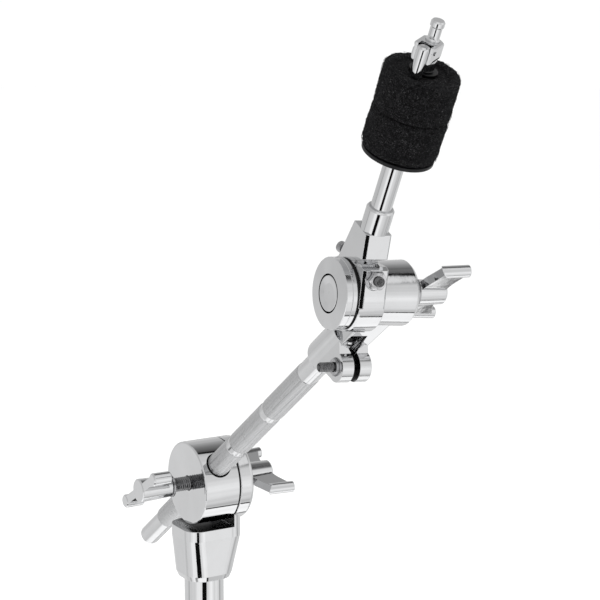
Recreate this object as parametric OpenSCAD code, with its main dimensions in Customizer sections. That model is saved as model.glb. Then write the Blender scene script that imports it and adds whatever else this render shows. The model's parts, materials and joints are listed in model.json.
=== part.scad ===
// Short boom head for a cymbal stand: a post, a clamp joint that tilts and
// grips the boom rod, a friction tilter on the rod's end, and a cymbal seat
// with two felts and a quick-release nut.
// Frame: origin on the post axis at the post's lower end. X is the axis of the
// boom joint, -Y is the side the boom reaches out to (the front), +Z is up.

/* [Post] */
// Outside diameter of the post tube
post_d = 22.2; // [21.6:0.1:22.2]
// Wall of the post tube
post_wall = 1.6; // [1.2:0.1:2.5]
// Height of the boom joint's axis above the post's lower end
joint_h = 230; // [160:5:300]

/* [Boom joint] */
// Diameter of the clamp drum and of the fixed ear
drum_d = 46.6; // [44:0.2:48]
// Distance from the post axis to the drum's left face
drum_l = 10.5; // [10:0.1:12]
// Thickness of the fixed ear
ear_t = 8.5; // [7:0.5:9]
// Angle of the boom rod above the horizontal
boom_angle = 36.3; // [20:0.1:42]

/* [Boom rod] */
// Diameter of the knurled boom rod
rod_d = 13.2; // [12.8:0.1:13.2]
// Length of rod behind the joint
rod_tail = 85; // [70:0.1:95]
// Distance along the rod from the joint to the tilter axis
rod_reach = 215.6; // [215.6:0.1:240]
// Turn of the rod about its own axis
rod_turn = -5.44; // [-15:0.01:5]

/* [Tilter] */
// Offset of the tilter axis above the rod's axis
axis_lift = 9.33; // [9:0.01:10]
// Lean of the cymbal rod from the boom rod's line
head_angle = 30; // [0:1:60]
// Radius of the brake cap
cap_r = 17.6; // [16:0.1:18]
// Radius of the head ring
ring_r = 18.5; // [18:0.1:19]
// Radius of the brake housing
housing_r = 15.5; // [15:0.1:16.5]

/* [Cymbal seat] */
// Diameter of the cymbal rod below the seat
cymbal_rod_d = 10.2; // [9.5:0.1:11]
// Diameter of the upper felt
felt_d = 37; // [35:0.5:39]
// Diameter of the lower felt
lower_felt_d = 36.2; // [35:0.1:39]
// Height of one felt
felt_h = 20.6; // [16:0.1:20.8]

/* [Wing nuts] */
// Radius from a wing nut's axis to the middle of its wing bar
wing_r = 19; // [17:0.1:20.5]
// Diameter of a wing bar
wing_bar_d = 6.2; // [5:0.1:7]
// Diameter of a wing nut's boss
wing_boss_d = 13; // [12:0.2:14]

/* [Hidden] */
$fn = 72;

chrome = [0.80, 0.81, 0.83];
steel = [0.62, 0.63, 0.65];
dark = [0.15, 0.15, 0.16];
felt_col = [0.07, 0.07, 0.07];
nylon = [0.12, 0.12, 0.13];

gap = 0.05;              // between parts stacked along a stud
stud_r = 3.98;           // studs that carry the wing nuts
nut_bore_r = stud_r + 0.05;
small_bolt_r = 2.5;      // clamp bolt and head bolt

// ---- frames ----
head_x = -6.3;           // x of the cymbal rod's axis, from the tilter centre
module at_joint() translate([0, 0, joint_h]) children();
// z runs along the boom rod, x along the joint's axis
module at_rod() at_joint() rotate([90 - boom_angle, 0, 0]) children();
// as at_rod, turned about the rod
module at_sleeve() at_rod() rotate([0, 0, rod_turn]) children();
// as at_sleeve, centred on the tilter axis
module at_tilter() at_sleeve() translate([0, axis_lift, rod_reach]) children();
// z runs parallel to the cymbal rod, centred on the tilter axis
module at_head() at_tilter() rotate([-head_angle, 0, 0]) children();
// z is the cymbal rod's axis
module at_seat() at_head() translate([head_x, 0, 0]) children();

// ---- helpers ----
module along_x() rotate([0, 90, 0]) children();
module zcyl(z0, z1, radius) translate([0, 0, z0]) cylinder(h = z1 - z0, r = radius);
module xcyl(x0, x1, radius) along_x() zcyl(x0, x1, radius);
// hexagonal bar along Z, sized across its flats
module zhex(z0, z1, flats) translate([0, 0, z0])
  cylinder(h = z1 - z0, d = flats / cos(30), $fn = 6);
module xhex(x0, x1, flats) along_x() zhex(x0, x1, flats);
// solid of revolution about Z; points are [radius, z]
module zrev(points) rotate_extrude() polygon(points);
// solid of revolution about X; points are [x, radius]
module xrev(points) along_x() zrev([for (p = points) [p[1], p[0]]]);
// ring about X with a bore, its outer edges broken
module xring(x0, x1, bore_r, outer_r, bevel = 0.2) xrev([[x0, bore_r],
  [x0, outer_r - bevel], [x0 + bevel, outer_r], [x1 - bevel, outer_r],
  [x1, outer_r - bevel], [x1, bore_r]]);
// [x, radius] points round a revolved rim's corner
function arc_points(centre_x, centre_r, corner_r, from, to, steps = 5) =
  [for (i = [0:steps]) let (angle = from + (to - from) * i / steps)
    [centre_x + corner_r * cos(angle), centre_r + corner_r * sin(angle)]];
module stud_washer(x0, x1, radius) xring(x0, x1, stud_r + 0.06, radius);
// spring washer on a stud, coned on both faces
module spring_washer(x0, length, cone) xrev([[x0, stud_r + 0.2], [x0 + cone, 8],
  [x0 + length - cone, 8], [x0 + length, stud_r + 0.2]]);

// ---- wing nuts ----
wing_nut_len = 16.5;
flat_nut_len = 19.4;
wing_web_t = 4.6;
wing_boss_r = wing_boss_d / 2;
wing_bar_y = wing_r - 0.6;

// wing nut along +X from x = 0; wings lie in the XY plane
module wing_nut() difference() {
  union() {
    xrev([[0, 0], [0, wing_boss_r - 0.5], [0.5, wing_boss_r],
      [wing_nut_len - 0.8, wing_boss_r - 0.5],
      [wing_nut_len, wing_boss_r - 1.3], [wing_nut_len, 0]]);
    for (side = [1, -1]) {
      // web from the boss out to the bar
      translate([0, 0, -wing_web_t / 2]) linear_extrude(wing_web_t)
        polygon([[1.2, side * 4], [1.7, side * 7.5], [2.9, side * 11],
          [4.9, side * 14.8], [7.2, side * (wing_r + 0.5)],
          [19.6, side * (wing_r + 0.5)], [17.4, side * 14.4],
          [15.9, side * 10.8], [15.2, side * 8], [15, side * 4]]);
      // bar along the wing's rim, its inner end cut on the slant
      difference() {
        translate([0, side * wing_bar_y, 0]) rotate([0, 0, side * 4])
          xcyl(4.2, 21.2, wing_bar_d / 2);
        translate([4.2, side * (wing_bar_y + 4.4), 0])
          rotate([0, 0, side * 46]) translate([-10, -6, -5]) cube([10, 12, 10]);
      }
    }
  }
  xcyl(-1, wing_nut_len + 1, nut_bore_r);
}

// wing nut along +X whose wings and boss end in one flat face
module flat_wing_nut() {
  end = flat_nut_len;
  xrev([[0, 0], [0, wing_boss_r - 1.2], [0.6, wing_boss_r - 0.6],
    [end - 0.6, wing_boss_r + 0.1], [end, wing_boss_r - 0.5], [end, 0]]);
  translate([0, 0, -wing_web_t / 2]) linear_extrude(wing_web_t)
    polygon([[end - 0.3, -20], [end - 0.3, 20], [end - 9.2, 20],
      [end - 11.6, 13.6], [4.8, 9], [2.4, 4.5], [2.4, -4.5], [4.8, -9],
      [end - 11.6, -13.6], [end - 9.2, -20]]);
  // barrels at the wings' ends
  for (side = [1, -1]) translate([0, side * 20.1, 0])
    xrev([[end - 11.2, 0], [end - 11.2, 2.7], [end - 10.4, 3.6],
      [end - 0.7, 3.7], [end, 3.1], [end, 0]]);
}

// ---- post and base ----
post_r = post_d / 2;
drum_r = drum_d / 2;
shelf_z = joint_h - 24.9;      // top of the casting's shelf
ferrule_z = joint_h - 55;      // lower end of the casting
post_screw_z = joint_h - 46;
shelf_end = [10, 6];           // centres of the shelf's right-hand corners, y as +/-
shelf_corner_r = 9;
foot_h = 14;
ear_x0 = 11.8;
ear_x1 = ear_x0 + ear_t;
ear_round = 2;
bush_r = 6;

// z points out of the post's back
module at_post_screw() translate([0, 0, post_screw_z]) rotate([-90, 0, 0])
  children();

module post_tube() color(chrome) difference() {
  zrev([[0, 0], [post_r - 0.3, 0], [post_r, 0.3],
    [post_r, ferrule_z - 0.1], [post_r - 0.25, ferrule_z - 0.1],
    [post_r - 0.25, joint_h - 30.2], [0, joint_h - 30.2]]);
  zcyl(-1, joint_h, post_r - post_wall);
}

module base_casting() color(chrome) difference() {
  union() {
    // ferrule: a long round-ended shelf blending down to a round neck
    hull() {
      for (x = [-6.9, shelf_end.x], y = [-shelf_end.y, shelf_end.y])
        translate([x, y, shelf_z - 6]) cylinder(h = 6, r = shelf_corner_r, $fn = 48);
      for (x = [-1, 1], y = [-1, 1]) {
        translate([x * 4.6, y * 4.6, ferrule_z + 3])
          cylinder(h = 1, r = 9.6, $fn = 48);
        translate([x * 4.3, y * 4.3, ferrule_z]) cylinder(h = 1, r = 8.7, $fn = 48);
      }
    }
    // foot of the ear, rounded in plan like the shelf's end
    intersection() {
      union() {
        for (y = [-shelf_end.y, shelf_end.y])
          translate([shelf_end.x, y, shelf_z - 1])
            cylinder(h = foot_h, r = shelf_corner_r);
        translate([shelf_end.x, -shelf_end.y, shelf_z - 1])
          cube([shelf_corner_r, 2 * shelf_end.y, foot_h]);
      }
      translate([ear_x0, -20, shelf_z - 1]) cube([20, 40, foot_h]);
    }
    // ear
    at_joint() xrev(concat(
      [[ear_x0, 0], [ear_x0, drum_r - 0.3], [ear_x0 + 0.3, drum_r]],
      arc_points(ear_x1 - ear_round, drum_r - ear_round, ear_round, 90, 0),
      [[ear_x1, 0]]));
  }
  zcyl(ferrule_z - 1, joint_h - 30, post_r - 0.2);
  at_joint() xcyl(ear_x0 - 1, ear_x1 + 1, bush_r + 0.05);
  // drum's clearance over the shelf
  at_joint() xcyl(-20, ear_x0, drum_r + 0.5);
  at_post_screw() zcyl(8, 20, 2.55);
}

module post_set_screw() color(dark)
  at_post_screw() translate([0, 0, post_r - 0.17]) difference() {
    zcyl(0, 3.4, 2.5);
    zhex(1.4, 4.4, 2.5);
  }

// ---- boom joint ----
drum_x1 = 11;
drum_round = 0.8;
rod_r = rod_d / 2;
eye_r = 9.7;
eye_x0 = -7.4;
// stack on the right-hand stud: bush flange, spring washer, washer, wing nut
bush_x1 = ear_x1 + 1.2;
tilt_spring_x = bush_x1 + gap;
tilt_spring_len = 2.2;
tilt_washer_x = tilt_spring_x + tilt_spring_len + gap;
tilt_washer_t = 1.9;
rod_washer_x = -21.15;   // outer face of the left-hand washer

module clamp_drum() color(chrome) difference() {
  at_joint() xrev(concat([[-drum_l + 0.9, 0], [-drum_l + 0.9, 5.5],
    [-drum_l, drum_r - 1.6]],
    arc_points(-drum_l + drum_round, drum_r - drum_round, drum_round, 180, 90),
    [[drum_x1 - 0.4, drum_r], [drum_x1, drum_r - 0.4], [drum_x1, 0]]));
  at_rod() zcyl(-40, 40, rod_r + 0.35);
  // pocket for the eye bolt
  at_joint() xcyl(eye_x0 - 0.2, drum_x1 + 1, eye_r + 0.1);
  at_joint() xcyl(-20, 0, stud_r + 0.4);
}

module tilt_brake_disc() color(dark) at_joint()
  xring(drum_x1 + 0.08, ear_x0 - 0.08, stud_r + 0.4, drum_r - 0.5, bevel = 0.1);

// double-ended eye bolt: the rod runs through its eye
module rod_eye_bolt() color(steel) difference() {
  at_joint() {
    xcyl(eye_x0, drum_x1 - 0.1, eye_r);
    xcyl(-26.4, 0, stud_r);
    xcyl(0, 42.4, stud_r);
  }
  at_rod() zcyl(-30, 30, rod_r + 0.05);
}

module tilt_bush() color(nylon) at_joint()
  xrev([[ear_x0 + 0.1, nut_bore_r], [ear_x0 + 0.1, bush_r],
    [ear_x1 + 0.02, bush_r], [ear_x1 + 0.02, 8.4], [bush_x1, 8.4],
    [bush_x1, nut_bore_r]]);

module tilt_spring_washer() color(steel) at_joint()
  spring_washer(tilt_spring_x, tilt_spring_len, cone = 0.7);

module tilt_washer() color(steel) at_joint()
  stud_washer(tilt_washer_x, tilt_washer_x + tilt_washer_t, 8.6);

module tilt_wing_nut() color(chrome) at_joint()
  translate([tilt_washer_x + tilt_washer_t + gap, 0, 0]) rotate([16, 0, 0])
    wing_nut();

module rod_lock_washer() color(steel) at_joint()
  stud_washer(rod_washer_x, rod_washer_x + 1.2, 6.3);

// this nut is closed at its outer end
module rod_wing_nut() color(chrome) at_joint() difference() {
  translate([rod_washer_x - gap, 0, 0]) rotate([-31, 0, 0]) mirror([1, 0, 0])
    flat_wing_nut();
  xcyl(-36.8, -20, nut_bore_r);
}

// ---- boom rod ----
// [radius, z]: stepped tail, full-size rod with two grooves, slimmer front end
module boom_rod() color(chrome) at_rod() zrev([
  [0, -rod_tail], [5.2, -rod_tail], [5.8, -rod_tail + 0.8], [5.8, -56],
  [rod_r, -55.4], [rod_r, 48.8], [6.1, 49.4], [6.1, 53.4],
  [rod_r, 54], [rod_r, 94], [6.1, 94.6], [6.1, 98.6],
  [rod_r, 99.2], [rod_r, 143.4], [6.25, 144], [6.25, 190.6],
  [5.6, 191.4], [0, 191.4]]);

// ---- tilter: rod clamp, neck and brake housing in one casting ----
spindle_r = 6.9;
clamp_y = -15.2;
clamp_z = 184.5;
cheek_w = 16;            // width over both clamp cheeks
slit_w = 3.2;
socket_z0 = 150;         // the cuts for the rod start below the sleeve
socket_z1 = 191.8;
housing_x0 = 1.45;
housing_x1 = 21.3;
// ends of the head's ring and bolt block
head_x0 = -13.1;
head_x1 = 0.58;
// brake cap and the friction ring inside it
ring_gap = 0.06;
cap_ring_x0 = -14;
cap_x1 = cap_ring_x0 - ring_gap;
// stack on the tilter bolt: spring washer, washer, wing nut
tilter_spring_x = housing_x1 + gap;
tilter_spring_len = 2.9;
tilter_washer_x = tilter_spring_x + tilter_spring_len + gap;
tilter_washer_t = 2;

// x is the clamp bolt's axis
module at_clamp() at_sleeve() translate([0, clamp_y, clamp_z]) children();
// z points out of the housing's underside
module at_housing_screw() at_tilter() translate([11, 0, 0]) rotate([160, 0, 0])
  children();

module tilter_body() color(chrome) difference() {
  tilter_casting();
  // rod bore
  at_rod() zcyl(socket_z0, socket_z1, 6.3);
  at_sleeve() clamp_slit();
  // bolt and nut seats
  at_clamp() {
    xcyl(-20, 20, small_bolt_r + 0.1);
    xhex(-9, -5.6, 8.3);
    xcyl(7.2, 12, 5);
  }
  // room for the head ring to turn
  at_tilter() difference() {
    xcyl(-30, housing_x0, ring_r + 0.9);
    xcyl(-13, 2, spindle_r);
  }
  at_tilter() xcyl(-30, 30, stud_r + 0.1);
  at_housing_screw() zcyl(8, 20, 1.6);
}

module tilter_casting() {
  at_sleeve() {
    // sleeve round the rod
    zcyl(163.6, 194, 9.6);
    // flat-sided cheek block that reaches down to the clamp bolt; [y, z]
    translate([-cheek_w / 2, 0, 0]) rotate([90, 0, 90]) linear_extrude(cheek_w)
      polygon([[4.1, 165.2], [3.9, 194], [-5, 194], [-11.4, 191],
        [-22.2, 187.6], [-22.6, 182], [-20.3, 179.2], [-2, 164.6]]);
    // neck up to the housing
    hull() {
      translate([-7.6, -8, 181]) cube([15.4, 14, 10]);
      translate([1.6, axis_lift, rod_reach]) rotate([0, 90, 0])
        cylinder(h = 14, r = 12.4, $fn = 32);
    }
  }
  // round end of the cheeks
  at_clamp() xcyl(-cheek_w / 2, cheek_w / 2, 7.6);
  // brake housing and spindle
  at_tilter() {
    xrev([[housing_x0, 0], [housing_x0, housing_r - 0.5],
      [housing_x0 + 0.5, housing_r], [19.6, housing_r + 0.6],
      [housing_x1, housing_r - 0.8], [housing_x1, 0]]);
    xcyl(-13, 2, spindle_r);
  }
}

module clamp_slit() {
  translate([-slit_w / 2, -40, socket_z0])
    cube([slit_w, 40, socket_z1 - socket_z0]);
  translate([-slit_w / 2, -40, socket_z0]) cube([slit_w, 31, 48]);
  // the slit opens out where the cheeks leave the sleeve
  translate([0, 0, 176]) linear_extrude(24) polygon([[-5, -4.6], [5, -4.6],
    [4.4, -6.4], [1.6, -11], [-1.6, -11], [-4.4, -6.4]]);
}

module housing_set_screw() color(dark) at_housing_screw() zcyl(8.2, 12.2, 1.55);

module clamp_bolt() color(steel) at_clamp() {
  xcyl(-17.2, 7.3, small_bolt_r);
  xrev([[7.22, 0], [7.22, 4], [9.4, 4], [10.4, 3.2], [10.4, 0]]);
}

module clamp_nut() color(dark) at_clamp() difference() {
  intersection() {
    xhex(-9.4, -5.65, 8);
    xrev([[-9.4, 0], [-9.4, 3.9], [-8.75, 4.9], [-5.65, 4.9], [-5.65, 0]]);
  }
  xcyl(-20, 0, small_bolt_r + 0.05);
}

module brake_cap() color(chrome) at_tilter() difference() {
  xrev([[-20.7, 0], [-20.7, 9.6], [-20.1, cap_r - 0.35], [-19.75, cap_r],
    [-16.9, cap_r], [-16.7, cap_r - 0.25], [-16.5, cap_r], [-14.4, cap_r],
    [cap_x1, cap_r - 0.3], [cap_x1, 0]]);
  xcyl(-30, -17, 9.5);
  xcyl(-30, 0, stud_r + 0.1);
}

module cap_friction_ring() color(dark) at_tilter()
  xring(cap_ring_x0, head_x0 - ring_gap, 7.6, 17.2, bevel = 0.1);

module housing_friction_ring() color(dark) at_tilter()
  xring(head_x1 + ring_gap, housing_x0 - gap, 7.6, 14.8, bevel = 0.1);

// centre bolt: its broad round head shows in the middle of the brake cap
module tilter_bolt() color(chrome) at_tilter() {
  xrev([[-20.1, 0], [-20.2, 5], [-20.75, 8.2], [-20.75, 8.6], [-20.55, 8.8],
    [-17.05, 8.8], [-17.05, 0]]);
  xcyl(-18, 43.4, stud_r);
}

module tilter_spring_washer() color(steel) at_tilter()
  spring_washer(tilter_spring_x, tilter_spring_len, cone = 0.85);

module tilter_washer() color(steel) at_tilter()
  stud_washer(tilter_washer_x, tilter_washer_x + tilter_washer_t, 8.4);

module tilter_wing_nut() color(chrome) at_tilter()
  translate([tilter_washer_x + tilter_washer_t + gap, 0, 0])
    rotate([86.3, 0, 0]) wing_nut();

// ---- head: ring round the spindle, bolt block and rod post ----
cymbal_rod_r = cymbal_rod_d / 2;
socket_r = cymbal_rod_r + 0.02;
cymbal_foot_z = 14.6;
head_top_z = 36;
// middle of the nut's seat on the block's front face, and the bolt's slope
nut_seat_y = -13.6;
nut_seat_z = 16.3;
bolt_slope = 19.2;
// inner end of the rod's lock screw
lock_y = 5.2;
lock_z = 17;
chamfer_angle = 25;

// z points out of the front face along the bolt
module at_head_bolt() at_head() translate([head_x, nut_seat_y, nut_seat_z])
  rotate([90 - bolt_slope, 0, 0]) children();
// z points out of the back along the lock screw
module at_lock() at_head() translate([head_x, lock_y, lock_z])
  rotate([-106, 0, 0]) children();

// bolt's hole, with a wider seat for its head at the back
module head_bolt_hole() {
  zcyl(-60, 20, small_bolt_r + 0.05);
  zcyl(-48.8, -28.8, 4.6);
}

// slab as wide as the head; outline is [y, z]
module head_slab(outline) translate([head_x0, 0, 0]) rotate([90, 0, 90])
  linear_extrude(head_x1 - head_x0) polygon(outline);

// chamfer along a left front edge; middle is the edge's [y, z] midpoint
module edge_cut(middle, lean, length, width)
  translate([head_x0, middle.x, middle.y]) rotate([-lean, 0, 0])
    translate([width * cos(chamfer_angle), 0, -length / 2])
      rotate([0, 0, -chamfer_angle])
        translate([-width * 1.6, -3, 0]) cube([width * 1.6, 3, length]);

// front edges of the rod post and of the bolt block
module front_edge_cuts(width) {
  edge_cut([-7.05, 30.3], lean = 14, length = 16, width = width);
  edge_cut([-15.05, 12], lean = 18.7, length = 19.4, width = width);
}

module tilter_head() color(chrome) difference() {
  at_head() tilter_head_block();
  at_head_bolt() {
    head_bolt_hole();
    zcyl(-0.6, 5.4, 5.2);
  }
  at_lock() zcyl(-3, 27, 2.3);
}

module tilter_head_block() difference() {
  union() {
    xcyl(head_x0, head_x1, ring_r);
    // bolt block
    head_slab([[-17.9, 3.6], [-12.2, 20.4], [-9, 20.8], [3, 16.8],
      [3, 9], [-10, 3]]);
    // rod post
    head_slab([[-8.5, 24.4], [-5.6, head_top_z], [8, head_top_z], [10.6, 23],
      [12.8, 12.6], [8, 8], [-2, 9], [0, 18.2]]);
  }
  xcyl(-20, 20, spindle_r + 0.05);
  // cymbal rod's socket
  translate([head_x, 0, 0]) zcyl(cymbal_foot_z - 0.1, 50.5, socket_r);
  front_edge_cuts(2.1);
  // lower half of the ring's left rim is coned
  difference() {
    xcyl(head_x0 - 1, head_x0 + 2.1, ring_r + 8);
    xrev([[head_x0 - 2, 0], [head_x0 - 2, ring_r - 1.43],
      [head_x0 + 2.2, ring_r + 0.55], [head_x0 + 2.2, 0]]);
    translate([-30, -60, 0]) cube([60, 120, 60]);
  }
  // narrower chamfers on the right
  translate([head_x0 + head_x1, 0, 0]) mirror([1, 0, 0]) front_edge_cuts(0.9);
}

module head_bolt() color(steel) at_head_bolt() {
  zcyl(-29, 5.4, small_bolt_r);
  zcyl(-32.2, -28.82, 4.2);
}

module head_nut() color(dark) at_head_bolt() difference() {
  intersection() {
    zhex(-0.55, 3.45, 8.4);
    zrev([[0, -0.55], [5, -0.55], [5, 2.75], [4, 3.45], [0, 3.45]]);
  }
  zcyl(-1, 9, small_bolt_r + 0.02);
}

module rod_lock_screw() color(steel) at_lock() {
  zcyl(0.6, 18.2, 2.25);
  zcyl(14.6, 18.6, 2.9);
}

module rod_collar() color(chrome) at_seat() difference() {
  zrev([[0, head_top_z + gap], [6.8, head_top_z + gap], [6.8, 47.4],
    [6.1, 48.3], [0, 48.3]]);
  zcyl(30, 60, socket_r);
}

// ---- cymbal seat ----
seat_z = 77;                       // shoulder of the cymbal rod
felt_z = seat_z + 2.3;
nut_z = felt_z + 2 * felt_h + 0.3;
stem_r = 3.3;                      // cymbal rod above the shoulder
stem_bore_r = stem_r + 0.05;
sleeve_r = 5.6;

module cymbal_rod() color(chrome) difference() {
  at_seat() cymbal_rod_bar();
  at_head_bolt() head_bolt_hole();
  at_lock() zcyl(-1, 9, 2.3);
}

module cymbal_rod_bar() zrev([[0, cymbal_foot_z], [cymbal_rod_r, cymbal_foot_z],
  [cymbal_rod_r, seat_z - 0.8], [cymbal_rod_r - 0.8, seat_z], [stem_r, seat_z],
  [stem_r, nut_z + 15.4], [2.8, nut_z + 16], [2.8, nut_z + 21.4],
  [stem_r, nut_z + 22], [stem_r, nut_z + 24], [2.7, nut_z + 24.8],
  [0, nut_z + 24.8]]);

module seat_washer() color(nylon) at_seat() difference() {
  zcyl(seat_z + 0.05, seat_z + 1.6, 17.3);
  zcyl(seat_z - 1, seat_z + 3, stem_bore_r);
}

module seat_sleeve() color(nylon) at_seat() difference() {
  union() {
    zcyl(seat_z + 1.65, seat_z + 2.25, 12);
    zcyl(seat_z + 2, nut_z - 3, sleeve_r);
  }
  zcyl(seat_z - 1, nut_z + 5, stem_bore_r);
}

module felt_ring(z0, diameter) difference() {
  zrev([[0, z0], [diameter / 2 - 1.2, z0],
    [diameter / 2, z0 + 1.4], [diameter / 2, z0 + felt_h - 1.4],
    [diameter / 2 - 1.2, z0 + felt_h], [0, z0 + felt_h]]);
  zcyl(z0 - 1, z0 + felt_h + 1, sleeve_r + 0.08);
}

module lower_felt() color(felt_col) at_seat() felt_ring(felt_z, lower_felt_d);

module upper_felt() color(felt_col) at_seat() difference() {
  felt_ring(felt_z + felt_h + 0.15, felt_d);
  // shallow hollow that the nut and lever sit in
  translate([0, 0, nut_z]) zrev([[0, -1.2], [12.2, -1.2], [13.6, 0.5], [0, 0.5]]);
}

// ---- quick-release nut ----
hinge_y = -7.6;
hinge_z = 12.3;
pin_r = 1;
nut_turn = -51;
module at_nut() at_seat() translate([0, 0, nut_z]) rotate([0, 0, nut_turn])
  children();
// used inside at_nut; x is the lever's hinge
module at_hinge() translate([0, hinge_y, hinge_z]) children();

module release_nut() color(chrome) at_nut() difference() {
  union() {
    zcyl(-0.6, 14.7, 4.7);
    // foot that bears on the felt, cut away on the lever's side
    difference() {
      zcyl(-1.1, 0.2, 6.8);
      translate([-8, -13.8, -2]) cube([16, 8, 4]);
    }
    // body with two cheeks: its [x, z] outline, then its [x, y] plan
    intersection() {
      translate([0, 3.2, 0]) rotate([90, 0, 0]) linear_extrude(12.2)
        polygon([[-5.4, 14.3], [-5, 14.7], [5, 14.7], [5.4, 14.3], [5.4, 8.7],
          [4.9, 7.2], [3.9, 6.4], [-3.9, 6.4], [-4.9, 7.2], [-5.4, 8.7]]);
      translate([0, 0, 5]) linear_extrude(10) polygon([[-5.4, 1.4], [-3.6, 3.2],
        [3.6, 3.2], [5.4, 1.4], [5.4, -7.8], [4.4, -9], [3.15, -9],
        [3.15, -4.6], [-3.15, -4.6], [-3.15, -9], [-4.4, -9], [-5.4, -7.8]]);
    }
  }
  zcyl(-2, 20, 3.36);
  at_hinge() xcyl(-20, 20, pin_r + 0.02);
}

// round lever, hinged between the nut's cheeks
module release_lever() color(chrome) at_nut() difference() {
  translate([0, -9, 0]) zrev([[0, -0.9], [2.3, -0.9], [2.8, -0.6], [3, 0],
    [3, 13.4], [2.7, 14], [2, 14.35], [0, 14.5]]);
  at_hinge() xcyl(-20, 20, pin_r + 0.05);
}

module lever_pin() color(steel) at_nut() at_hinge() xcyl(-4.7, 4.7, pin_r);

post_tube();
base_casting();
post_set_screw();
clamp_drum();
tilt_brake_disc();
rod_eye_bolt();
tilt_bush();
tilt_spring_washer();
tilt_washer();
tilt_wing_nut();
rod_lock_washer();
rod_wing_nut();
boom_rod();
tilter_body();
clamp_bolt();
clamp_nut();
brake_cap();
cap_friction_ring();
housing_friction_ring();
tilter_bolt();
housing_set_screw();
tilter_spring_washer();
tilter_washer();
tilter_wing_nut();
tilter_head();
head_bolt();
head_nut();
rod_lock_screw();
rod_collar();
cymbal_rod();
seat_washer();
seat_sleeve();
lower_felt();
upper_felt();
release_nut();
release_lever();
lever_pin();
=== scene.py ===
# Cymbal boom arm: a post with a tilting drum joint, a knurled boom rod, and a tilter whose
# head holds a cymbal seat with two felts and a quick-release nut.
# The world is in metres with +Z up. Pieces are worked out in mm in local frames that sit
# on the joints. The boom rod runs along z of ROD_FRAME, the felts lie round z of SEAT_FRAME.
import bpy
import bmesh
import math
import random
import json
from mathutils import Matrix, Vector


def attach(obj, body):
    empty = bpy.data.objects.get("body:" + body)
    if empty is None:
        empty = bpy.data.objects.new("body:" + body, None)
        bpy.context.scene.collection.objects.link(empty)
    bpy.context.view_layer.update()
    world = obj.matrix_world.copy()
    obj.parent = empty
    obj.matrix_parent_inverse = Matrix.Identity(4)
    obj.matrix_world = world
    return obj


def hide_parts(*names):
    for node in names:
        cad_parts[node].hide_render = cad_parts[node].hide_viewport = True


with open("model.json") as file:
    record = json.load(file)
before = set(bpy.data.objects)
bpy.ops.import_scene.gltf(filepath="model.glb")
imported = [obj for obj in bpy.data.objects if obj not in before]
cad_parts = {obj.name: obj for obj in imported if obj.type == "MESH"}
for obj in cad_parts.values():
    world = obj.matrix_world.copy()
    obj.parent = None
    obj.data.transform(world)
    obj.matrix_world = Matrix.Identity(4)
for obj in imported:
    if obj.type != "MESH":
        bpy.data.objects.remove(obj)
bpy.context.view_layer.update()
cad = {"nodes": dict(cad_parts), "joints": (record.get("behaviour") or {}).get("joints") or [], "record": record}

record = cad["record"]
nodes = cad["nodes"]
JOINTS = {joint["name"]: joint for joint in cad["joints"]}
BODY_OF = {node: body for body, members in record["behaviour"]["bodies"].items()
           for node in members}
scene = bpy.context.scene
MM = 0.001
X, Y, Z = 0, 1, 2


# ------------------------------------------------------------------ frames
def joint_place(name):
    return Vector(JOINTS[name]["pos_m"])


def joint_axis(name):
    return Vector(JOINTS[name]["axis"]).normalized()


def frame_at(origin, x_axis, z_axis):
    """local frame in mm with the given x and z directions; y is square to both"""
    x, z = Vector(x_axis).normalized(), Vector(z_axis).normalized()
    y = z.cross(x).normalized()
    turned = Matrix((x, y, z)).transposed().to_4x4()
    turned.translation = Vector(origin)
    return turned @ Matrix.Scale(MM, 4)


BOOM_JOINT = joint_place("boom_tilt")
TILT_JOINT = joint_place("cymbal_tilt")
ROD_DIR = joint_axis("boom_slide")
TILT_DIR = joint_axis("cymbal_tilt")
SEAT_DIR = joint_axis("felt_lift")

BOOM_FRAME = frame_at(BOOM_JOINT, (1, 0, 0), (0, 0, 1))
ROD_FRAME = frame_at(BOOM_JOINT, (1, 0, 0), ROD_DIR)
CLAMP_FRAME = frame_at(BOOM_JOINT, TILT_DIR, ROD_DIR)    # rod frame turned with the tilter
BRAKE_FRAME = frame_at(TILT_JOINT, TILT_DIR, ROD_DIR)
HEAD_FRAME = frame_at(TILT_JOINT, TILT_DIR, SEAT_DIR)
# how far the seat's axis stands off the tilt joint, along the tilt axis
SEAT_X = (joint_place("nut_turn") - TILT_JOINT).dot(TILT_DIR) / MM
SEAT_FRAME = frame_at(TILT_JOINT + TILT_DIR * SEAT_X * MM, TILT_DIR, SEAT_DIR)


def local_points(node, frame):
    to_local = frame.inverted()
    return [to_local @ vertex.co for vertex in nodes[node].data.vertices]


def reach(node, frame, axis):
    """lowest and highest reading of a node along a frame's axis"""
    readings = [point[axis] for point in local_points(node, frame)]
    return min(readings), max(readings)


# top of the base casting's shelf under the drum, in BOOM_FRAME
SHELF_Z = max(round(point.z, 2) for point in local_points("base_casting", BOOM_FRAME)
              if -9 < point.x < -3 and point.z < -10)
NUT_FOOT_Z = reach("release_nut", HEAD_FRAME, Z)[0]


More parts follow.
